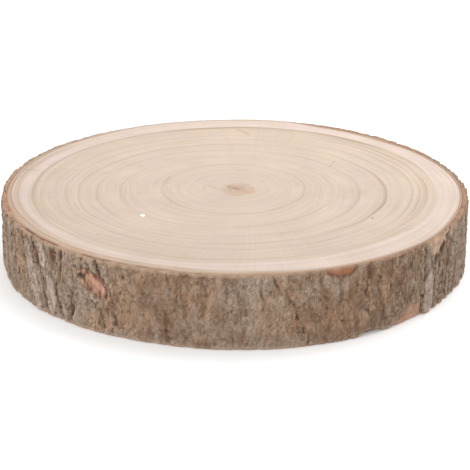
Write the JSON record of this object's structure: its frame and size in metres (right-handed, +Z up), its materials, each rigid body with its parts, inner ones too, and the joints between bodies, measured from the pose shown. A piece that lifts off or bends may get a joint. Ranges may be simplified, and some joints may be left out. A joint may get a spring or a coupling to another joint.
{
  "type": "wood slice",
  "caption": "Round slice sawn across a tree trunk, with flat sanded faces showing growth rings, and rough furrowed bark round its edge.",
  "frame": {"origin": "centre of the lower cut face, on the surface that the slice lies on", "axes": "+Z up along the trunk's axis, -Y towards the viewer of the picture, +X to the viewer's right"},
  "size_m": [0.2501, 0.2503, 0.038],
  "materials": {
    "cut_wood": "bare, fine sanded end grain, pale beige with fine darker growth rings",
    "bark": "dry, rough, matt grey-brown bark with tan and orange inner bark where it is broken"
  },
  "bodies": {
    "root": {"wood_slice": "cut_wood"}
  },
  "joints": []
}
